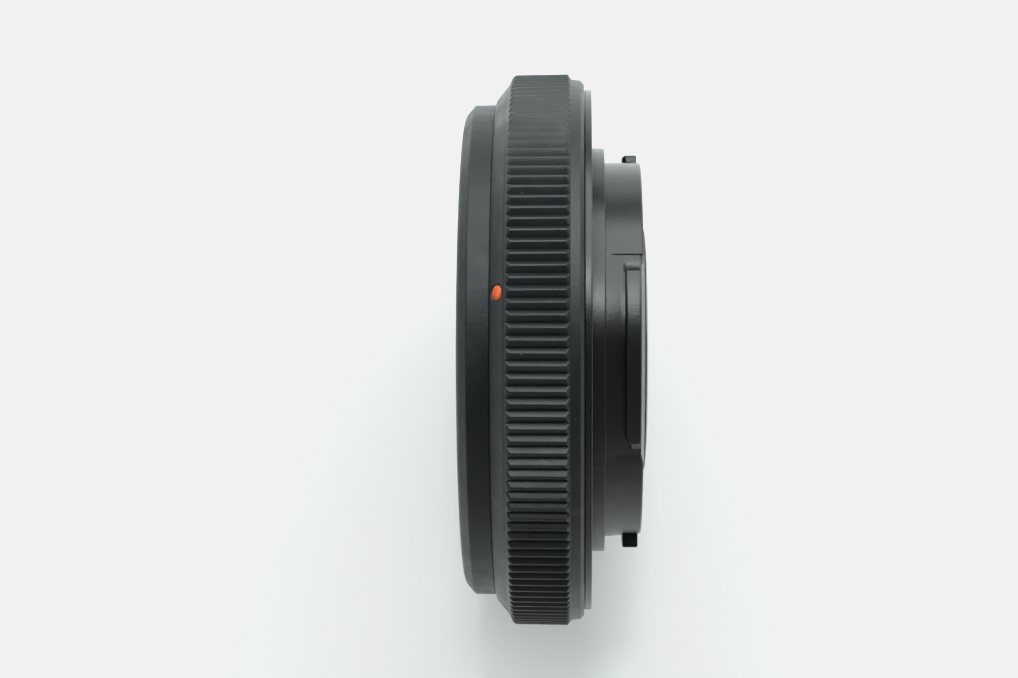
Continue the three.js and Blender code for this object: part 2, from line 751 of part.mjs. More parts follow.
function lensCell() {
  const group = new THREE.Group();
  const spacer = (name, r, y0, y1) => piece(name, ring(r, ELEMENT_R, y0, y1, OPTIC), blackFlat);
  group.add(
    piece("lens_cell", cellBarrel(), blackMatte),
    piece("front_retaining_ring", retainingRing(), blackFlat),
    piece("front_element", frontElement(), glass),
    piece("baffle_washer", ring(3.6, 4.75, -5.95, -5.72, OPTIC), blackFlat),
    spacer("front_spacer", 4.4, -5.65, -4.75),
    piece("second_element", element({ y: -5.75, curve: -9 }, { y: -3.55, curve: 30 }), glass),
    spacer("stop_plate", 1.9, -3.4, -3.2),
    piece("doublet_front", element({ y: -2.36, curve: 16 }, { y: -1.95, curve: -9 }), glass),
    piece("doublet_rear", element({ y: -1.85, curve: -9 }, { y: 0.385, curve: 20 }), glass),
    spacer("rear_spacer", 4.2, 0.0, 0.45),
    piece("rear_element", element({ y: 0.55, curve: -90 }, { y: 2.24, curve: 9 }), glass),
    ...FOLLOWER_ANGLES.map((angle, i) =>
      piece(`follower_pin_${i + 1}`, radialBar(PIN_R, 8.6, 12.3, angle), steel),
    ),
  );
  return group;
}

// ---------------------------------------------------------------- the lens

const lens = new THREE.Group();
lens.name = "prime_lens";
lens.position.y = -(FRONT_Y + REAR_Y) / 2;
lens.add(
  housing(),
  focusRing(),
  barrier("barrier_blade_upper", 1),
  barrier("barrier_blade_lower", -1),
  lensCell(),
);

export default lens;
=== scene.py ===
"""Looks of the flat prime lens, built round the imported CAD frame.

Outlines are in millimetres as (radius, y): y is counted along the optical axis from the mount flange's seat,
with the front at -y. Angles are in radians about the axis, from +Z (the index dot) towards +X.
"""

import json
import math

import bmesh
import bpy
import numpy as np
from mathutils import Matrix, Vector


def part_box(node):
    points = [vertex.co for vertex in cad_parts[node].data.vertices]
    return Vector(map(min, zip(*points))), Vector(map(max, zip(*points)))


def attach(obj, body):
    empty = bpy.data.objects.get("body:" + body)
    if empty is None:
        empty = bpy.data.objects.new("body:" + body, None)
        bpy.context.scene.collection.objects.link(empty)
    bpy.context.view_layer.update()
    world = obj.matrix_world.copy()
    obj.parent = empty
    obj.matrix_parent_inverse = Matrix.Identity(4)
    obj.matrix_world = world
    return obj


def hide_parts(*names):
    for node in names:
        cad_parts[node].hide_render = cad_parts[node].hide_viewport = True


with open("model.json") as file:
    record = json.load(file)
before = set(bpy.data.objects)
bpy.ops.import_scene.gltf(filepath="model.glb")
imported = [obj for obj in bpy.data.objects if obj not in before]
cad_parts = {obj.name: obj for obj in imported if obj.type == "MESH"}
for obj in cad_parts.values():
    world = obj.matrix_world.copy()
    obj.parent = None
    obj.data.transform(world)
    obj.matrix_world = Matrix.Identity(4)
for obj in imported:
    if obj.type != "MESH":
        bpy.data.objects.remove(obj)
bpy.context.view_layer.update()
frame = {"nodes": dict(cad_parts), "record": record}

MM = 0.001
MOUNTS = {mount["name"]: mount for mount in frame["record"]["mounts"]}
FLANGE = MOUNTS["mount_flange"]["pos_m"][1] / MM
FLOOR_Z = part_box("grip_body")[0].z

COLUMN_SHIFT = 0.4

GRIP_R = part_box("grip_body")[1].z / MM
RIBS = 150
RIB_DEPTH = 0.45
RIB_RISE = 0.40
RIB_CREST = 0.12
RIB_FLOOR_R = GRIP_R - RIB_DEPTH
RIB_PHASE = math.radians(-0.76)
CONE = ((25.5, -9.5), (27.0, -8.3))
BAND_Y = -2.03
DOT_R = 0.78

LEVER_R = 17.0
LEVER_ANGLE = 68.0
LEVER_RANGE = (-36.0, 20.0)
POST_R = 0.9
PIVOT = (-16.5, 4.5)
BLADE_R = 7.6
BLADE_OPEN_ANGLE = -29.0

LUG_ANGLES = (14.1, 117.9, 251.6)
LUG_HALF = 24.4
LUG_HEIGHT = 1.24
LUG_FRONT_Y, LUG_REAR_Y = 3.15, 4.68
ZONE_HALF = 31.1
ZONE_STEP = 0.12
ZONE_NOTCH = 0.22
BLOCK_LENGTH = 3.0
POCKET_LENGTH = 5.2
MOUNT_SCREW_R, MOUNT_SCREW_ANGLES = 23.3, (45, 135, 225, 315)
COVER_SCREW_R, COVER_SCREW_ANGLES = 14.9, (73, 193, 313)
SCREW_CIRCLE_R, SCREW_ANGLES = 18.7, (20, 130, 250)

SKY_STRENGTH = 0.75
PAPER_WHITE = 0.882


# ---------------------------------------------------------------- node materials


class Shader:
    """A material's node tree. A value that is a socket is linked, and any other value is set."""

    def __init__(self, name):
        self.material = bpy.data.materials.new(name)
        self.material.use_nodes = True
        self.nodes = self.material.node_tree.nodes
        self.links = self.material.node_tree.links
        self.surface = self.nodes["Principled BSDF"]
        self.place = self.add("TexCoord").outputs["Object"]

    def put(self, socket, value):
        if isinstance(value, bpy.types.NodeSocket):
            self.links.new(value, socket)
        elif isinstance(value, tuple) and len(value) == 3 and len(socket.default_value) == 4:
            socket.default_value = (*value, 1.0)
        else:
            socket.default_value = value

    def add(self, kind, inputs=None, **settings):
        node = self.nodes.new("ShaderNode" + kind)
        for name, value in settings.items():
            setattr(node, name, value)
        for name, value in (inputs or {}).items():
            self.put(node.inputs[name], value)
        return node

    def set(self, **values):
        for name, value in values.items():
            self.put(self.surface.inputs[name.replace("_", " ")], value)

    def noise(self, size_mm, detail=3.0, roughness=0.55, stretch=None):
        place = self.place
        if stretch:
            place = self.add("Mapping", {"Vector": place, "Scale": stretch}).outputs[0]
        scale = 1 / (size_mm * MM)
        inputs = {"Vector": place, "Scale": scale, "Detail": detail, "Roughness": roughness}
        return self.add("TexNoise", inputs).outputs["Fac"]

    def ramp(self, value, low, high, to_low=0.0, to_high=1.0):
        inputs = {"Value": value, "From Min": low, "From Max": high, "To Min": to_low, "To Max": to_high}
        return self.add("MapRange", inputs).outputs["Result"]

    def math(self, operation, a, b):
        node = self.add("Math", operation=operation)
        self.put(node.inputs[0], a)
        self.put(node.inputs[1], b)
        return node.outputs[0]

    def mix(self, share, a, b):
        node = self.add("Mix", {"Factor": share}, data_type="RGBA")
        self.put(node.inputs[6], a)
        self.put(node.inputs[7], b)
        return node.outputs[2]

    def bump(self, height, depth_mm, under=None):
        inputs = {"Height": height, "Distance": depth_mm * MM, "Strength": 1.0}
        if under is not None:
            inputs["Normal"] = under
        return self.add("Bump", inputs).outputs["Normal"]


def dust(shader, amount):
    """Share of dust at a point: sparse specks about a tenth of a millimetre across."""
    specks = shader.add("TexVoronoi", {"Vector": shader.place, "Scale": 1 / (1.0 * MM)})
    speck = shader.ramp(specks.outputs["Distance"], 0.06, 0.03)
    chance = shader.ramp(specks.outputs["Color"], amount, amount - 0.02)
    return shader.math("MULTIPLY", speck, chance)


def black_plastic(name, tone, rough, grain_mm=0.09, grain_depth=0.008, sheen_spread=0.08, specks=0.2, shine=0.35):
    """Injection-moulded black plastic: fine grain, faint flow mottling, paler worn edges and a little dust."""
    s = Shader(name)
    mottling = s.noise(6.0, 2.0)
    fine = s.noise(grain_mm, 2.0)
    deep = tuple(c * 0.82 for c in tone)
    pale = tuple(c * 1.22 for c in tone)
    colour = s.mix(s.ramp(mottling, 0.35, 0.65), deep, pale)
    colour = s.mix(s.ramp(fine, 0.3, 0.75, 0.0, 0.35), colour, tuple(c * 1.6 for c in tone))
    edge = s.ramp(s.add("NewGeometry").outputs["Pointiness"], 0.53, 0.62, 0.0, 0.45)
    colour = s.mix(edge, colour, tuple(c * 2.2 + 0.012 for c in tone))
    colour = s.mix(dust(s, specks), colour, (0.22, 0.22, 0.21))
    smudge = s.noise(2.5, 4.0)
    roughness = s.ramp(smudge, 0.3, 0.7, rough - sheen_spread, rough + sheen_spread)
    normal = s.bump(fine, grain_depth, s.bump(s.noise(0.6, 3.0), grain_depth * 0.6))
    s.set(Base_Color=colour, Roughness=roughness, Normal=normal, Specular_IOR_Level=shine)
    return s.material


def metal(name, tone, rough, brush_mm=0.05, brush_depth=0.002, around_axis=False):
    """Turned or stamped metal with fine machining lines."""
    s = Shader(name)
    lines = s.noise(brush_mm, 3.0, stretch=(1, 12, 1) if around_axis else (0.15, 1, 1))
    stain = s.noise(3.0, 3.0)
    colour = s.mix(s.ramp(stain, 0.3, 0.7), tuple(c * 0.85 for c in tone), tuple(c * 1.08 for c in tone))
    edge = s.ramp(s.add("NewGeometry").outputs["Pointiness"], 0.52, 0.6, 0.0, 0.4)
    colour = s.mix(edge, colour, tuple(min(1.0, c * 1.5) for c in tone))
    s.set(
        Base_Color=colour,
        Metallic=1.0,
        Roughness=s.ramp(lines, 0.3, 0.7, rough * 0.8, rough * 1.25),
        Normal=s.bump(lines, brush_depth),
    )
    return s.material


def coated_glass(name, tint):
    """Optical glass with the violet-green reflection of its coating and a trace of dust."""
    s = Shader(name)
    facing = s.add("LayerWeight", {"Blend": 0.35}).outputs["Facing"]
    coat = s.mix(s.ramp(facing, 0.1, 0.9), tint, (0.45, 0.75, 0.6))
    coat = s.mix(s.ramp(s.noise(5.0, 2.0), 0.35, 0.65, 0.0, 0.25), coat, (0.35, 0.3, 0.75))
    s.set(
        Base_Color=(1.0, 1.0, 1.0),
        Roughness=s.ramp(s.noise(1.5, 4.0), 0.3, 0.8, 0.0, 0.03),
        IOR=1.5,
        Transmission_Weight=1.0,
        Specular_Tint=coat,
        Normal=s.bump(s.noise(4.0, 2.0), 0.0004),
    )
    return s.material


def paint(name, tone, rough):
    """Brushed-in enamel fill: slightly uneven, pooled in the middle."""
    s = Shader(name)
    pool = s.noise(0.5, 3.0)
    colour = s.mix(s.ramp(pool, 0.35, 0.65), tone, tuple(min(1.0, c * f) for c, f in zip(tone, (1.0, 1.6, 1.5))))
    colour = s.mix(s.ramp(s.noise(0.12, 2.0), 0.55, 0.8, 0.0, 0.4), colour, tuple(c * 0.7 for c in tone))
    s.set(
        Base_Color=colour,
        Roughness=s.ramp(pool, 0.3, 0.7, rough - 0.08, rough + 0.08),
        Normal=s.bump(pool, 0.02),
    )
    return s.material


LOOKS = {
    "black_moulded_matte": black_plastic("grip_plastic", (0.0065, 0.0087, 0.0100), 0.34, 0.10, 0.024),
    "black_bezel": black_plastic("bezel_plastic", (0.0056, 0.0074, 0.0085), 0.38, 0.10, 0.028, shine=0.3),
    "black_gloss": black_plastic("mount_plastic", (0.004, 0.005, 0.0056), 0.23, 0.12, 0.014, 0.04, 0.15, 0.44),
    "scale_face": black_plastic("scale_face", (0.022, 0.023, 0.024), 0.5, 0.07, 0.006),
    "black_flat": black_plastic("flat_black", (0.010, 0.010, 0.010), 0.75, 0.08, 0.010),
    "black_knob": black_plastic("knob_plastic", (0.028, 0.029, 0.030), 0.45, 0.08, 0.008),
    "black_inner": black_plastic("inner_plastic", (0.020, 0.020, 0.020), 0.6, 0.10, 0.010),
    "black_blade": metal("blade_coating", (0.045, 0.045, 0.047), 0.5),
    "anodised_cell": metal("black_anodising", (0.050, 0.050, 0.054), 0.38, around_axis=True),
    "brass_ring": metal("turned_brass", (0.72, 0.52, 0.22), 0.28, around_axis=True),
    "steel_plate": metal("ground_steel", (0.55, 0.54, 0.52), 0.32),
    "steel_screw": metal("plated_steel", (0.62, 0.61, 0.60), 0.25),
    "black_screw": metal("black_oxide", (0.055, 0.055, 0.058), 0.35),
    "coated_glass": coated_glass("coated_glass", (0.55, 0.35, 0.85)),
    "orange_mark": paint("orange_paint", (0.86, 0.10, 0.025), 0.38),
}
WHITE_PRINT = paint("white_print", (0.72, 0.73, 0.72), 0.5)
SLOT_OF = {sub["node"]: sub["material_slot"] for sub in frame["record"]["subparts"]}
BODY_OF = {n: body for body, members in frame["record"]["behaviour"]["bodies"].items() for n in members}


# ---------------------------------------------------------------- mesh helpers


def at(r, y, angle):
    """Point of the lens in metres from radius, flange height and angle, which may be arrays."""
    return np.stack(
        [r * np.sin(angle) * MM, (y + FLANGE) * MM + 0 * r * angle, r * np.cos(angle) * MM], axis=-1
    )


def rounded(corners, radius=0.08, steps=4):
    """Closed outline with its corners turned into arcs. A corner may give its own radius as a third value.

    Each arc stands between two guard points, which keep the flats beside it flat when shaded smooth."""
    sizes = [c[2] if len(c) > 2 else radius for c in corners]
    points = np.array([c[:2] for c in corners], float)
    outline = []
    for i, (corner, size) in enumerate(zip(points, sizes)):
        back = points[i - 1] - corner
        ahead = points[(i + 1) % len(points)] - corner
        reach_back = np.linalg.norm(back)
        reach_ahead = np.linalg.norm(ahead)
        back, ahead = back / reach_back, ahead / reach_ahead
        half = math.acos(max(-1.0, min(1.0, float(back @ ahead)))) / 2
        tangent = min(size / math.tan(half), 0.42 * reach_back, 0.42 * reach_ahead)
        guard = min(0.35 * tangent, 0.06 * min(reach_back, reach_ahead) + 0.01)
        outline.append(corner + back * (tangent + guard))
        parts = steps if size > 0.1 else 2
        for k in range(parts + 1):
            t = k / parts
            outline.append(corner + back * tangent * (1 - t) ** 2 + ahead * tangent * t**2)
        outline.append(corner + ahead * (tangent + guard))
    return np.array(outline)


def finer(outline, step, y0, y1):
    """Outline with extra points on its stretches between two heights."""
    out = []
    for here, there in zip(outline, np.roll(outline, -1, axis=0)):
        inside = y0 < (here[1] + there[1]) / 2 < y1
        parts = max(1, math.ceil(np.linalg.norm(there - here) / step)) if inside else 1
        out += [here + (there - here) * k / parts for k in range(parts)]
    return np.array(out)


def new_mesh(name, vertices, faces, sharp_degrees=None):
    mesh = bpy.data.meshes.new(name)
    mesh.from_pydata([tuple(v) for v in vertices], [], faces)
    built = bmesh.new()
    built.from_mesh(mesh)
    bmesh.ops.recalc_face_normals(built, faces=built.faces)
    built.to_mesh(mesh)
    built.free()
    mesh.shade_smooth()
    if sharp_degrees:
        mesh.set_sharp_from_angle(angle=math.radians(sharp_degrees))
    piece = bpy.data.objects.new(name, mesh)
    bpy.context.scene.collection.objects.link(piece)
    return piece


def stand_for(piece, *nodes):
    """Puts a piece in the place of CAD nodes: on their body and with their record slot's material."""
    slot = SLOT_OF[nodes[0]]
    piece.data.materials.clear()
    piece.data.materials.append(LOOKS[slot])
    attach(piece, BODY_OF[nodes[0]])
    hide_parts(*nodes)
    flatten_flats(piece)
    return piece


def flatten_flats(piece):
    """Leans vertex normals towards the larger faces, so that flats beside small roundings shade flat."""
    weighted = piece.modifiers.new("flats", "WEIGHTED_NORMAL")
    weighted.mode = "FACE_AREA"
    weighted.weight = 50
    weighted.keep_sharp = True


def wrap_faces(columns, rows):
    """Quads of a grid that closes on itself both ways."""
    i, j = np.meshgrid(np.arange(columns), np.arange(rows), indexing="ij")
    i2, j2 = (i + 1) % columns, (j + 1) % rows
    quads = np.stack([i * rows + j, i * rows + j2, i2 * rows + j2, i2 * rows + j], axis=-1)
    return quads.reshape(-1, 4).tolist()


def turned_grid(name, r, y, angle):
    """Ring whose outline may change round the axis: r and y have a row of points for each angle."""
    points = at(r, y, np.broadcast_to(angle[:, None], r.shape))
    return new_mesh(name, points.reshape(-1, 3), wrap_faces(*r.shape))


def turned(name, outline, columns=360):
    """Ring turned from a closed outline that stays off the axis."""
    angle = (np.arange(columns) + COLUMN_SHIFT) * 2 * math.pi / columns
    return turned_grid(name, np.tile(outline[:, 0], (columns, 1)), np.tile(outline[:, 1], (columns, 1)), angle)


def turned_solid(name, outline, columns=96, centre=(0.0, 0.0)):
    """Solid turned from an open outline whose ends are on its axis, which stands at (x, z) = centre."""
    angle = np.linspace(0, 2 * math.pi, columns, endpoint=False)
    body = np.array(outline[1:-1], float)
    rows = len(body)
    grid_r, grid_angle = np.meshgrid(body[:, 0], angle)
    points = at(grid_r, np.broadcast_to(body[:, 1], grid_r.shape), grid_angle).reshape(-1, 3).tolist()
    points += [(0, (outline[k][1] + FLANGE) * MM, 0) for k in (0, -1)]
    faces = []
    for i in range(columns):
        k = (i + 1) % columns
        faces.append((columns * rows, i * rows, k * rows))
        faces.append((columns * rows + 1, k * rows + rows - 1, i * rows + rows - 1))
        faces += [(i * rows + j, i * rows + j + 1, k * rows + j + 1, k * rows + j) for j in range(rows - 1)]
    moved = [(x + centre[0] * MM, y, z + centre[1] * MM) for x, y, z in points]
    return new_mesh(name, moved, faces, 40)


def on_circle(r, degrees):
    return r * math.sin(math.radians(degrees)), r * math.cos(math.radians(degrees))


def screw_stations(r=SCREW_CIRCLE_R, angles=SCREW_ANGLES):
    return [on_circle(r, degrees) for degrees in angles]


def drill(r, y0, y1, centre):
    return turned_solid("drill", [(0, y0), (r, y0), (r, y1), (0, y1)], 32, centre)


def arc_block(name, r, y, degrees, steps=24):
    """Block between two radii, two heights and two angles."""
    angle = np.radians(np.linspace(*degrees, steps + 1))
    corners = [(r[0], y[0]), (r[1], y[0]), (r[1], y[1]), (r[0], y[1])]
    points = np.concatenate([at(np.full_like(angle, cr), np.full_like(angle, cy), angle) for cr, cy in corners])
    n = steps + 1
    faces = [tuple(range(0, 4 * n, n)), tuple(range(steps, 4 * n, n))]
    for c in range(4):
        d = (c + 1) % 4
        faces += [(c * n + i, c * n + i + 1, d * n + i + 1, d * n + i) for i in range(steps)]
    return new_mesh(name, points, faces)


def boolean(piece, operation, tools, sharp_degrees=40):
    """Cuts tools out of a piece or joins them on, and leaves the plain result in its mesh."""
    for tool in tools:
        step = piece.modifiers.new("boolean", "BOOLEAN")
        step.operation = operation
        step.solver = "MANIFOLD"
        step.object = tool
    bake(piece)
    for tool in tools:
        bpy.data.objects.remove(tool)
    piece.data.set_sharp_from_angle(angle=math.radians(sharp_degrees))
    return piece


def bake(piece):
    """Replaces a piece's mesh with the result of its modifiers."""
    bpy.context.view_layer.update()
    mesh = bpy.data.meshes.new_from_object(piece.evaluated_get(bpy.context.evaluated_depsgraph_get()))
    piece.modifiers.clear()
    piece.data = mesh


def edge_bevel(piece, width_mm=0.04, segments=2):
    bevel = piece.modifiers.new("edge", "BEVEL")
    bevel.width = width_mm * MM
    bevel.segments = segments
    bevel.limit_method = "ANGLE"
    bevel.angle_limit = math.radians(40)
    bevel.harden_normals = True
    return piece


def soft_min(a, b, blend):
    """Smaller of two heights, with the crease between them rounded over."""
    h = np.clip(0.5 + 0.5 * (b - a) / blend, 0, 1)
    return b * (1 - h) + a * h - blend * h * (1 - h)


def lever_slot(name, y0, y1, lip=0.0):
    """Cutter for the curved slot that the lever's post travels in."""
    half = POST_R + 0.2 + lip
    from_angle = LEVER_ANGLE + LEVER_RANGE[0]
    to_angle = LEVER_ANGLE + LEVER_RANGE[1]
    slot = arc_block(name, (LEVER_R - half, LEVER_R + half), (y0, y1), (from_angle, to_angle), 48)
    ends = [
        turned_solid(name + "_end", [(0, y0), (half, y0), (half, y1), (0, y1)], 32, on_circle(LEVER_R, a))
        for a in (from_angle, to_angle)
    ]
    return boolean(slot, "UNION", ends)


# ---------------------------------------------------------------- grip


def rib_section():
    """Offsets across one rib in millimetres, and the height over the groove's floor at each."""
    width = 2 * math.pi * GRIP_R / RIBS
    crest_start, crest_end = RIB_RISE * width, RIB_RISE * width + RIB_CREST
    offsets = np.array(
        [0.0, 0.03, 0.5 * crest_start, crest_start - 0.05, crest_start - 0.01, crest_start + 0.03,
         crest_end - 0.03, crest_end + 0.01, crest_end + 0.05, 0.5 * (crest_end + width), width - 0.03]
    )
    height = RIB_DEPTH * np.minimum(offsets / crest_start, (width - offsets) / (width - crest_end))
    return offsets, soft_min(height, np.full_like(height, RIB_DEPTH), 0.03)


def grip_body():
    offsets, height = rib_section()
    pitch = 2 * math.pi / RIBS
    angle = (np.arange(RIBS)[:, None] * pitch + offsets[None, :] / GRIP_R).ravel() + RIB_PHASE
    rib_r = RIB_FLOOR_R + np.tile(height, RIBS)
    outline = rounded(
        [
            (25.06, -9.58, 0.02),
            (CONE[0][0], CONE[0][1], 0.45),
            (CONE[1][0], CONE[1][1], 0.3),
            (27.8, -7.9, 0.12),
            (28.0, -7.65, 0.12),
            (GRIP_R, -2.4, 0.1),
            (27.58, -2.03, 0.06),
            (27.45, -1.1, 0.12),
            (27.08, -0.75, 0.05),
            (26.3, -0.75, 0.05),
            (26.3, -7.2, 0.1),
            (24.7, -7.2, 0.1),
            (24.7, -0.75, 0.05),
            (15.2, -0.75, 0.1),
            (15.2, -3.2, 0.1),
            (21.9, -3.2, 0.1),
            (21.9, -9.58, 0.1),
        ],
        steps=4,
    )
    outline = finer(finer(outline, 0.09, -8.8, -7.6), 0.07, -2.7, -1.95)
    r = np.tile(outline[:, 0], (len(angle), 1))
    ribbed = (outline[:, 0] > 26.8) & (outline[:, 1] < BAND_Y)
    r[:, ribbed] = soft_min(r[:, ribbed], rib_r[:, None], 0.03)
    body = turned_grid("grip_body_shell", r, np.tile(outline[:, 1], (len(angle), 1)), angle)
    middle, normal, _ = dot_place()
    recess = bpy.data.objects.new("dot_recess", dish_mesh("dot_recess", DOT_R + 0.06, 0.0, 0.22, 1.0))
    bpy.context.scene.collection.objects.link(recess)
    holes = [drill(0.75, -4.2, 0, at) for at in screw_stations(MOUNT_SCREW_R, MOUNT_SCREW_ANGLES)]
    holes += [drill(0.8, -4, 0, at) for at in screw_stations()] + [drill(1.6, -1.75, 0, at) for at in screw_stations()]
    boolean(body, "DIFFERENCE", [recess, *holes], 50)
    stand_for(body, "grip_body")


def dot_place():
    """Middle of the index dot on the cone at the top, the cone's outward normal, and the way up the cone."""
    (r0, y0), (r1, y1) = CONE
    along = Vector((0, y1 - y0, r1 - r0)).normalized()
    return Vector((0, (y0 + y1) / 2 + FLANGE, (r0 + r1) / 2)), Vector((0, -along.z, along.y)), along


def dish_mesh(name, radius, edge_drop, depth, top):
    """Disc on the cone: from a bowl that is depth deep to a flat cap at the given height."""
    middle, normal, along = dot_place()
    side = Vector((1, 0, 0))
    rings = [(radius * t, -depth * (1 - t**4) - edge_drop * t**4) for t in (0.25, 0.5, 0.7, 0.85, 0.95, 1.0)]
    rings += [(radius, top)]
    columns = 48
    points, faces = [], []
    for ring_r, height in rings:
        for i in range(columns):
            a = 2 * math.pi * i / columns
            points.append((middle + side * ring_r * math.cos(a) + along * ring_r * math.sin(a) + normal * height) * MM)
    points += [(middle - normal * depth) * MM, (middle + normal * top) * MM]
    for j in range(len(rings) - 1):
        for i in range(columns):
            k = (i + 1) % columns
            faces.append((j * columns + i, j * columns + k, (j + 1) * columns + k, (j + 1) * columns + i))
    last = (len(rings) - 1) * columns
    for i in range(columns):
        k = (i + 1) % columns
        faces.append((len(points) - 2, k, i))
        faces.append((len(points) - 1, last + i, last + k))
    mesh = bpy.data.meshes.new(name)
    mesh.from_pydata(points, [], faces)
    built = bmesh.new()
    built.from_mesh(mesh)
    bmesh.ops.recalc_face_normals(built, faces=built.faces)
    built.to_mesh(mesh)
    built.free()
    mesh.shade_smooth()
    return mesh


def index_dot():
    """Paint that fills the recess, with its face a little hollow."""
    mesh = dish_mesh("index_dot_paint", DOT_R, 0.33, 0.34, -0.1)
    cap = len(mesh.vertices) - 1
    mesh.vertices[cap].co -= dot_place()[1] * 0.09 * MM
    dot = bpy.data.objects.new("index_dot_paint", mesh)
    bpy.context.scene.collection.objects.link(dot)
    stand_for(dot, "index_dot")


# ---------------------------------------------------------------- front


def front_bezel():
    outline = rounded(
        [
            (7.2, -11.1, 0.05),
            (8.0, -11.7, 0.12),
            (20.3, -11.7, 0.1),
            (20.3, -12.7, 0.12),
            (23.8, -12.7, 1.4),
            (24.97, -11.7, 0.3),
            (25.0, -9.6, 0.02),
            (21.6, -9.6, 0.05),
            (21.6, -7.8, 0.05),
            (20.9, -7.8, 0.05),
            (20.9, -11.1, 0.05),
        ],
        steps=5,
    )
    bezel = turned("front_bezel_shell", outline, 480)
    boss = [(0, -11.2), (1.25, -11.2), (1.3, -11.15), (1.3, -10.65), (1.25, -10.6), (0, -10.6)]
    bosses = [turned_solid("boss", boss, 32, at) for at in screw_stations()]
    hole = [(0, -12), (1.3, -12), (1.3, -11.7), (0.75, -11.2), (0.75, -10), (0, -10)]
    tools = [turned_solid("hole", hole, 32, at) for at in screw_stations()]
    boolean(bezel, "UNION", bosses)
    stand_for(boolean(bezel, "DIFFERENCE", [*tools, lever_slot("slot", -12.6, -10.9)]), "front_bezel")


def scale_plate():
    outline = rounded(
        [(8.6, -11.98, 0.06), (20.0, -11.98, 0.06), (20.0, -11.75, 0.03), (8.6, -11.75, 0.03)], steps=4
    )
    outline = finer(outline, 1.5, -12.1, -11.6)
    plate = turned("scale_plate_face", outline, 360)
    stand_for(boolean(plate, "DIFFERENCE", [lever_slot("slot", -12.6, -11.2, 0.03)]), "scale_plate")


def scale_print():
    """Ticks, numbers and an infinity mark round the lever's slot, and a fine ring near the plate's edge."""
    front, back = -11.994, -11.975
    for i, (degrees, length) in enumerate(((-36, 1.0), (-18, 0.6), (0, 1.0), (5, 0.5), (10, 0.5), (15, 0.5), (20, 1.0))):
        a = LEVER_ANGLE + degrees
        half = math.degrees(0.06 / 15.3)
        tick = arc_block(f"scale_tick_{i}", (15.35 - length, 15.35), (front, back), (a - half, a + half), 2)
        finish_print(tick)
    for name, r0, r1, span in (("scale_ring_outer", 19.35, 19.43, (0, 360)), ("scale_ring_inner", 9.2, 9.28, (0, 360))):
        ring = turned(name, np.array([(r0, front), (r1, front), (r1, back), (r0, back)]), 180)
        finish_print(ring)
    for name, text, degrees in (("scale_number_near", "0.3", 20), ("scale_number_middle", "0.5", 10)):
        finish_print(number(name, text, LEVER_ANGLE + degrees, 12.9, front, back))
    finish_print(infinity_mark("scale_infinity", LEVER_ANGLE, 13.4, front, back))


def finish_print(mark):
    mark.data.materials.clear()
    mark.data.materials.append(WHITE_PRINT)
    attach(mark, BODY_OF["scale_plate"])


def number(name, text, degrees, r, front, back):
    """Number that reads upright with its top pointing outwards."""
    curve = bpy.data.curves.new(name, "FONT")
    curve.body = text
    curve.size = 1.25 * MM
    curve.align_x = "CENTER"
    curve.extrude = (back - front) / 2 * MM
    source = bpy.data.objects.new(name + "_text", curve)
    bpy.context.scene.collection.objects.link(source)
    bpy.context.view_layer.update()
    mesh = bpy.data.meshes.new_from_object(source.evaluated_get(bpy.context.evaluated_depsgraph_get()))
    bpy.data.objects.remove(source)
    a = math.radians(degrees)
    right = Vector((math.cos(a), 0, -math.sin(a)))
    up = Vector((math.sin(a), 0, math.cos(a)))
    place = Matrix((right, up, Vector((0, -1, 0)))).transposed().to_4x4()
    place.translation = up * r * MM + Vector((0, (front + back) / 2 + FLANGE, 0)) * MM
    mesh.transform(place)
    mark = bpy.data.objects.new(name, mesh)
    bpy.context.scene.collection.objects.link(mark)
    return mark


def infinity_mark(name, degrees, r, front, back):
    """Figure of eight lying across the radius, swept from two loops."""
    a = math.radians(degrees)
    right = np.array((math.cos(a), -math.sin(a)))
    up = np.array((math.sin(a), math.cos(a)))
    columns = 24
    points, faces = [], []
    for side in (-1, 1):
        base = len(points)
        for loop_r in (0.2, 0.31):
            for y in (front, back):
                for i in range(columns):
                    t = 2 * math.pi * i / columns
                    x = side * 0.27 + loop_r * math.cos(t)
                    flat = right * x + up * (r + 0.9 * loop_r * math.sin(t))
                    points.append((flat[0] * MM, (y + FLANGE) * MM, flat[1] * MM))
        order = (0, 2, 3, 1)
        for n, loop in enumerate(order):
            after = order[(n + 1) % 4]
            for i in range(columns):
                k = (i + 1) % columns
                faces.append(tuple(base + c for c in (loop * columns + i, loop * columns + k, after * columns + k, after * columns + i)))
    return new_mesh(name, points, faces)


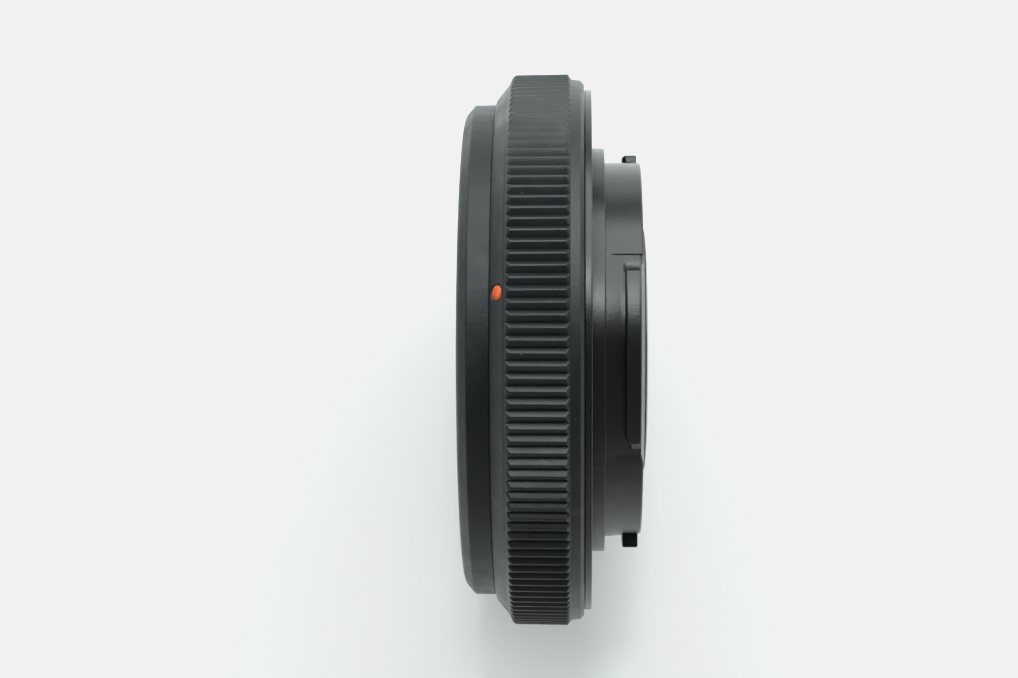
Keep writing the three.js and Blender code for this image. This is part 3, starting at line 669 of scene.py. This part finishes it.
def lever_knob():
    """Finger pad with rounded edges and fine ridges across it."""
    half_angle, inner, outer, front, back = 6.5, LEVER_R - 1.8, LEVER_R + 1.8, -12.4, -12.03
    columns, rows = 131, 24
    u = np.linspace(-1, 1, columns)
    v = np.linspace(-1, 1, rows)
    grid_u, grid_v = np.meshgrid(u, v, indexing="ij")
    fall = np.maximum(0, np.maximum(np.abs(grid_u) - 0.93, 0) / 0.07) ** 2 + np.maximum(0, (np.abs(grid_v) - 0.86) / 0.14) ** 2
    off_ridge = np.min([np.abs(half_angle * grid_u - ridge) for ridge in (-4, 0, 4)], axis=0)
    crest = np.clip((1.1 - off_ridge) / 0.5, 0, 1) * np.clip((0.84 - np.abs(grid_v)) / 0.12, 0, 1)
    crest = crest * crest * (3 - 2 * crest)
    y = front - 0.19 * crest + 0.16 * np.minimum(fall, 1.0)
    angle = np.radians(LEVER_ANGLE + half_angle * grid_u)
    r = (inner + outer) / 2 + (outer - inner) / 2 * grid_v
    top = at(r, y, angle).reshape(-1, 3)
    bottom = at(r, np.full_like(r, back), angle).reshape(-1, 3)
    count = columns * rows
    faces = []
    for i in range(columns - 1):
        for j in range(rows - 1):
            k = i * rows + j
            faces.append((k, k + 1, k + rows + 1, k + rows))
            faces.append((count + k, count + k + rows, count + k + rows + 1, count + k + 1))
    border = [i * rows for i in range(columns)] + [(columns - 1) * rows + j for j in range(1, rows)]
    border += [i * rows + rows - 1 for i in range(columns - 2, -1, -1)] + list(range(rows - 2, 0, -1))
    for k, here in enumerate(border):
        there = border[(k + 1) % len(border)]
        faces.append((here, there, count + there, count + here))
    stand_for(new_mesh("lever_knob_pad", np.concatenate([top, bottom]), faces, 50), "lever_knob")


def blade_outline():
    """Outline about the pivot in the closed place: eye, arm and half disc."""
    centre = Vector((-PIVOT[0], -PIVOT[1]))

    def arc(middle, r, degrees, steps):
        turns = np.radians(np.linspace(*degrees, steps))
        return [(middle[0] + r * math.cos(t), middle[1] + r * math.sin(t)) for t in turns]

    outline = arc((0, 0), 1.7, (84, 276), 24)
    outline += arc(centre, BLADE_R, (164, 179.3), 10)
    outline += arc(centre, BLADE_R, (0.8, 118), 60)
    return outline + [(11.4, 2.15), (10.8, 2.14)]


def blade(node, half_turn):
    """Stamped blade, swung open about its pivot as it is at rest."""
    outline = blade_outline()
    swing = math.radians(BLADE_OPEN_ANGLE)
    turn = math.pi * half_turn
    points = []
    for y in (-11.0, -10.65):
        for x, z in outline:
            px = PIVOT[0] + x * math.cos(swing) + z * math.sin(swing)
            pz = PIVOT[1] - x * math.sin(swing) + z * math.cos(swing)
            px, pz = px * math.cos(turn) + pz * math.sin(turn), -px * math.sin(turn) + pz * math.cos(turn)
            points.append((px * MM, (y + FLANGE) * MM, pz * MM))
    n = len(outline)
    faces = [tuple(range(n)), tuple(range(2 * n - 1, n - 1, -1))]
    faces += [(i, (i + 1) % n, n + (i + 1) % n, n + i) for i in range(n)]
    piece = new_mesh(node + "_stamping", points, faces, 40)
    sign = math.cos(turn)
    hole = turned_solid("hole", [(0, -12), (0.8, -12), (0.8, -10), (0, -10)], 32, (sign * PIVOT[0], sign * PIVOT[1]))
    boolean(piece, "DIFFERENCE", [hole])
    stand_for(edge_bevel(piece, 0.05), node)


# ---------------------------------------------------------------- optics


def dish(vertex_y, curvature, r, steps=14):
    """Spherical surface from the axis to its rim; a negative curvature radius bulges towards the front."""
    x = np.linspace(0, r, steps + 1)
    sag = abs(curvature) - np.sqrt(curvature**2 - x**2)
    return list(zip(x, vertex_y - np.sign(curvature) * sag))


def element(node, r, front, rear, rear_r=None):
    """Glass with a fine bevel at each rim."""
    front_face = dish(*front, r - 0.08)
    rear_face = dish(*rear, (rear_r or r) - 0.08)[::-1]
    edge = [(r, front_face[-1][1] + 0.07), (r, rear_face[0][1] - 0.07)]
    if rear_r:
        edge = [(r, front_face[-1][1] + 0.07), (r, -6.12), (r - 0.08, -6.05)]
    stand_for(turned_solid(node + "_glass", [*front_face, *edge, *rear_face], 128), node)


def optics():
    element("front_element", 8.25, (-9.95, -14), (-8.48, -5.2), 4.4)
    element("second_element", 4.8, (-5.75, -9), (-3.55, 30))
    element("doublet_front", 4.8, (-2.36, 16), (-1.95, -9))
    element("doublet_rear", 4.8, (-1.85, -9), (0.385, 20))
    element("rear_element", 4.8, (0.55, -90), (2.24, 9))
    stops = {
        "baffle_washer": [(3.6, -5.95), (4.75, -5.95), (4.75, -5.72), (3.6, -5.72)],
        "front_spacer": [(4.4, -5.65), (4.8, -5.65), (4.8, -4.75), (4.4, -4.75)],
        "stop_plate": [(1.9, -3.4), (4.8, -3.4), (4.8, -3.2), (1.9, -3.2)],
        "rear_spacer": [(4.2, 0.0), (4.8, 0.0), (4.8, 0.45), (4.2, 0.45)],
    }
    for node, corners in stops.items():
        stand_for(turned(node + "_ring", rounded(corners, 0.03, 2), 96), node)
    retaining = turned(
        "front_retaining_ring_turning",
        rounded([(7.5, -9.7), (9.2, -9.7), (9.2, -9.35), (8.3, -9.35), (8.3, -7.95), (7.5, -7.95)], 0.06, 3),
        192,
    )
    notches = [box_tool("notch", (20, 0.5, 1.0), (0, -9.8, 0))]
    stand_for(boolean(retaining, "DIFFERENCE", notches), "front_retaining_ring")


def box_tool(name, size, middle, degrees=0.0):
    """Plain box cutter, turned about the optical axis."""
    x, y, z = (v / 2 for v in size)
    corners = [(sx * x, sy * y, sz * z) for sx in (-1, 1) for sy in (-1, 1) for sz in (-1, 1)]
    turn = Matrix.Rotation(math.radians(degrees), 3, "Y")
    points = [(turn @ (Vector(c)) + Vector(middle) + Vector((0, FLANGE, 0))) * MM for c in corners]
    faces = [(0, 1, 3, 2), (4, 6, 7, 5), (0, 4, 5, 1), (2, 3, 7, 6), (0, 2, 6, 4), (1, 5, 7, 3)]
    return new_mesh(name, points, faces)


# ---------------------------------------------------------------- bayonet


def spread(angle, centre):
    """Angle from a lug's middle, between -180 and 180 degrees."""
    return (np.degrees(angle) - centre + 180) % 360 - 180


def mount_columns():
    """Even columns with extra ones at the lugs' ends."""
    degrees = list(np.arange(COLUMN_SHIFT, 360, 1.0))
    for centre in LUG_ANGLES:
        for end in (-ZONE_HALF, -LUG_HALF - POCKET_LENGTH, -LUG_HALF, ZONE_HALF):
            degrees += [centre + end + d for d in (-0.45, -0.2, -0.08, 0.08, 0.2, 0.45)]
        degrees += list(centre + LUG_HALF + np.arange(-5.0, 8.0, 0.25))
        degrees += list(centre - LUG_HALF - np.arange(0.5, POCKET_LENGTH, 0.5))
    return np.radians(np.unique(np.round(np.mod(degrees, 360), 3)))


def step(value, width=0.16):
    """0 below zero and 1 above, over the given width."""
    return np.clip(value / width + 0.5, 0, 1)


def bayonet_mount():
    angle = mount_columns()
    outline = rounded(
        [
            (16.0, -0.7, 0.05),
            (26.5, -0.7, 0.08),
            (26.5, 0.0, 0.12),
            (20.6, 0.0, 0.06),
            (20.6, 1.3, 0.12),
            (19.1, 1.3, 0.06),
            (19.1, 4.8, 0.06),
            (18.95, 4.95, 0.06),
            (17.2, 4.95, 0.08),
            (17.2, 1.4, 0.08),
            (9.5, 1.4, 0.08),
            (9.5, 0.0, 0.05),
            (16.0, 0.0, 0.05),
        ],
        steps=4,
    )
    outline = finer(outline, 1.2, -0.1, 0.1)
    before = np.flatnonzero((np.abs(outline[:, 0] - 19.1) < 1e-6) & (outline[:, 1] < 3))[-1] + 1

    off = np.stack([spread(angle, c) for c in LUG_ANGLES])
    nearest = off[np.abs(off).argmin(axis=0), np.arange(len(angle))]
    past_end = nearest - LUG_HALF
    lug = step(LUG_HALF + nearest) * step(-past_end, 1.3)
    block = step(past_end, 1.3) * np.clip(1 - past_end / BLOCK_LENGTH, 0, 1)
    pocket = step(nearest + LUG_HALF + POCKET_LENGTH) * step(-LUG_HALF - nearest)
    scoop = np.clip((nearest + LUG_HALF + POCKET_LENGTH) / POCKET_LENGTH, 0, 1)
    zone = step(ZONE_HALF + nearest, 0.25) * step(ZONE_HALF - nearest, 3.5)
    ramp = np.clip((past_end + 3.8) / 7.1, 0, 1)
    front = LUG_FRONT_Y + 0.67 * ramp * ramp * (3 - 2 * ramp)
    shaped = step(LUG_HALF + POCKET_LENGTH + 0.8 + nearest, 1.2) * step(BLOCK_LENGTH + 2.0 - past_end, 2.0)
    height = lug * LUG_HEIGHT + block * 0.42 * LUG_HEIGHT - pocket * scoop**1.5 * 0.5

    fade = np.clip((BLOCK_LENGTH + 0.3 - past_end) / 5, 0, 1) * np.clip(scoop * 2 - 0.6, 0, 1)
    groove = 0.25 * fade
    none = np.zeros_like(front)
    rows = [
        (2.30, front - 0.50, none),
        (2.60, front - 0.17, none),
        (2.70, front - 0.14, -groove),
        (2.80, front - 0.02, -groove),
        (2.90, front, np.minimum(height, 0) - 0.5 * groove),
        (3.00, front + 0.01, height * 0.88),
        (3.10, front + 0.05, height * 0.97),
        (3.20, front + 0.11, height),
        (3.60, front + 0.30, height),
        (3.90, (front + LUG_REAR_Y) / 2 + 0.1, height),
        (4.10, LUG_REAR_Y - 0.25, height),
        (4.25, LUG_REAR_Y - 0.11, height),
        (4.35, LUG_REAR_Y - 0.05, height * 0.97),
        (4.45, LUG_REAR_Y - 0.01, height * 0.88),
        (4.50, LUG_REAR_Y + none, none),
    ]
    sunk = ZONE_STEP * zone
    r_rows = np.stack([19.1 - sunk + add for _, _, add in rows], axis=1)
    y_rows = np.stack([plain + shaped * (y - plain) for plain, y, _ in rows], axis=1)
    r = np.tile(outline[:, 0], (len(angle), 1))
    y = np.tile(outline[:, 1], (len(angle), 1))
    behind = (outline[:, 0] > 18.0) & (outline[:, 1] > 1.6) & (outline[:, 0] < 19.2)
    r[:, behind] -= sunk[:, None]
    rear = (outline[:, 0] > 16.9) & (outline[:, 1] > 4.6)
    y[:, rear] -= ZONE_NOTCH * zone[:, None]
    r = np.concatenate([r[:, :before], r_rows, r[:, before:]], axis=1)
    y = np.concatenate([y[:, :before], y_rows, y[:, before:]], axis=1)
    mount = turned_grid("bayonet_mount_body", r, y, angle)

    tools = []
    for degrees in MOUNT_SCREW_ANGLES:
        seat = [(0, -1.2), (0.85, -1.2), (0.85, -0.62), (1.42, -0.05), (1.5, 0.03), (1.5, 0.5), (0, 0.5)]
        tools.append(turned_solid("seat", seat, 40, on_circle(MOUNT_SCREW_R, degrees)))
    tools.append(arc_block("lock_pin_slot", (21.6, 24.2), (-1.2, 0.6), (98, 102), 6))
    tools += [drill(0.65, -1, 2, at) for at in screw_stations(COVER_SCREW_R, COVER_SCREW_ANGLES)]
    stand_for(boolean(mount, "DIFFERENCE", tools), "bayonet_mount")


def rear_cover():
    outline = rounded(
        [
            (16.9, 1.45, 0.05),
            (16.9, 2.25, 0.1),
            (13.9, 2.25, 0.15),
            (13.9, 4.86, 0.05),
            (12.3, 5.28, 0.03),
            (12.3, 5.37, 0.03),
            (10.4, 5.55, 0.15),
            (7.0, 5.55, 0.15),
            (7.0, 4.9, 0.05),
            (11.8, 4.9, 0.05),
            (11.8, 1.45, 0.05),
        ],
        steps=5,
    )
    holes = [drill(0.7, 1, 3, at) for at in screw_stations(COVER_SCREW_R, COVER_SCREW_ANGLES)]
    stand_for(boolean(turned("rear_cover_shell", outline, 300), "DIFFERENCE", holes), "rear_cover")


def cross_screw(node, centre, head, height, shank, length, y, way):
    """Cross-recessed screw whose head's flat end is at y and whose shank runs towards way."""
    dome = 0.0 if height < 0 else 0.06
    height = abs(height)
    outline = [
        (0, y - way * dome),
        (head * 0.6, y - way * dome * 0.8),
        (head - 0.12, y),
        (head - 0.03, y + way * 0.03),
        (head, y + way * 0.11),
    ]
    outline += [(shank, y + way * height)] if dome == 0 else [(head, y + way * height), (shank, y + way * height)]
    outline += [(shank, y + way * (length - 0.2)), (shank - 0.15, y + way * length), (0, y + way * length)]
    piece = turned_solid(node + "_screw", outline, 48, centre)
    depth = 0.42 * min(height, 0.7) + 0.15
    middle = (centre[0], y, centre[1])
    arms = [box_tool("arm", (head * 1.15, 2 * depth, head * 0.26), middle, turn) for turn in (20, 110)]
    stand_for(boolean(piece, "DIFFERENCE", arms, 35), node)


def screws():
    for i, degrees in enumerate(MOUNT_SCREW_ANGLES):
        centre = on_circle(MOUNT_SCREW_R, degrees)
        cross_screw(f"mount_screw_{i + 1}", centre, 1.35, -0.55, 0.7, 3.9, -0.05, -1)
    for i, degrees in enumerate(COVER_SCREW_ANGLES):
        centre = on_circle(COVER_SCREW_R, degrees)
        cross_screw(f"rear_cover_screw_{i + 1}", centre, 1.2, 0.55, 0.58, 2.6, 2.79, -1)


grip_body()
index_dot()
front_bezel()
scale_plate()
scale_print()
lever_knob()
blade("barrier_blade_upper", 0)
blade("barrier_blade_lower", 1)
optics()
bayonet_mount()
rear_cover()
screws()


# ---------------------------------------------------------------- carried-over nodes


def dress(node):
    """A CAD node that keeps its shape gets its material and a fine edge bevel."""
    piece = frame["nodes"][node]
    piece.data.materials.clear()
    piece.data.materials.append(LOOKS[SLOT_OF[node]])
    bevel = piece.modifiers.new("edge", "BEVEL")
    bevel.width = 0.04 * MM
    bevel.segments = 2
    bevel.limit_method = "ANGLE"
    bevel.angle_limit = math.radians(40)
    bevel.harden_normals = True


for node, piece in frame["nodes"].items():
    if not piece.hide_render:
        dress(node)


# ---------------------------------------------------------------- stage, light and camera


def floor():
    mesh = bpy.data.meshes.new("floor")
    half = 3.0
    z = FLOOR_Z - 0.00002
    mesh.from_pydata([(-half, -half, z), (half, -half, z), (half, half, z), (-half, half, z)], [], [(0, 1, 2, 3)])
    sheet = bpy.data.objects.new("floor", mesh)
    bpy.context.scene.collection.objects.link(sheet)
    s = Shader("white_table")
    colour = s.mix(s.ramp(s.noise(30.0, 3.0), 0.3, 0.7), (0.80, 0.81, 0.80), (0.83, 0.84, 0.83))
    s.set(Base_Color=colour, Roughness=0.6, Normal=s.bump(s.noise(0.4, 3.0), 0.01))
    mesh.materials.append(s.material)


def area_light(name, azimuth, elevation, distance, size, power, colour=(1, 1, 1)):
    """Soft box that faces the lens. Azimuth 0 is on the front's side (-Y) and 90 on +X."""
    a, e = math.radians(azimuth), math.radians(elevation)
    direction = Vector((math.sin(a) * math.cos(e), -math.cos(a) * math.cos(e), math.sin(e)))
    light = bpy.data.lights.new(name, "AREA")
    light.shape = "RECTANGLE"
    light.size, light.size_y = size
    light.energy = power
    light.color = colour
    lamp = bpy.data.objects.new(name, light)
    lamp.location = direction * distance
    lamp.rotation_mode = "QUATERNION"
    lamp.rotation_quaternion = direction.to_track_quat("Z", "Y")
    bpy.context.scene.collection.objects.link(lamp)
    return lamp


def sky():
    """Studio surroundings: bright near the horizon and dark overhead, where the camera hangs."""
    world = bpy.data.worlds.new("studio")
    world.use_nodes = True
    nodes, links = world.node_tree.nodes, world.node_tree.links
    direction = nodes.new("ShaderNodeSeparateXYZ")
    links.new(nodes.new("ShaderNodeTexCoord").outputs["Generated"], direction.inputs[0])
    ramp = nodes.new("ShaderNodeValToRGB")
    links.new(direction.outputs["Z"], ramp.inputs[0])
    stops = ramp.color_ramp.elements
    levels = {0.0: 1.0, 0.3: 0.75, 0.55: 0.42, 0.8: 0.36, 1.0: 0.16}
    for place in list(levels)[1:-1]:
        stops.new(place)
    for stop, level in zip(stops, levels.values()):
        stop.color = (0.98 * level, level, 0.985 * level, 1.0)
    links.new(ramp.outputs["Color"], nodes["Background"].inputs["Color"])
    nodes["Background"].inputs["Strength"].default_value = SKY_STRENGTH
    bpy.context.scene.world = world


def film():
    """Plain view transform whose highlights stop just short of white, as a paper print's do."""
    settings = bpy.context.scene.view_settings
    settings.view_transform = "Standard"
    settings.use_curve_mapping = True
    mapping = settings.curve_mapping
    mapping.use_clip = False
    mapping.extend = "HORIZONTAL"
    curve = mapping.curves[3]
    curve.points.new(0.8, 0.8)
    curve.points[-1].location = (1.0, PAPER_WHITE)
    for point in curve.points:
        point.handle_type = "VECTOR"
    mapping.update()


def camera():
    """Nearly overhead, level with the mount and a little towards +X, as a table-top product shot."""
    lens_distance = 242.0
    tilt = math.radians(11.5)
    foot_y = -1.16
    aim = Vector((0, -8.44, 0)) + 1.08 * Vector((-math.cos(tilt), 0, math.sin(tilt)))
    eye = Vector((math.sin(tilt) * lens_distance, foot_y, math.cos(tilt) * lens_distance))
    back = (eye - aim).normalized()
    right = Vector((0, 1, 0))
    up = back.cross(right).normalized()
    right = up.cross(back)
    data = bpy.data.cameras.new("camera")
    data.sensor_width = 36.0
    data.lens = 36.0 * 2356 / 1018
    data.clip_start, data.clip_end = 0.01, 20
    eye_object = bpy.data.objects.new("camera", data)
    turn = Matrix((right, up, back)).transposed()
    place = (eye + Vector((0, FLANGE, 0))) * MM
    eye_object.matrix_world = Matrix.Translation(place) @ turn.to_4x4()
    bpy.context.scene.collection.objects.link(eye_object)
    bpy.context.scene.camera = eye_object


floor()
area_light("key_window", -96, 46, 0.8, (1.5, 0.85), 17, (0.93, 1.0, 1.0))
area_light("overhead_lamp", -90, 74.0, 0.8, (0.09, 0.09), 0.95, (0.93, 1.0, 1.0))
sky()
camera()
film()
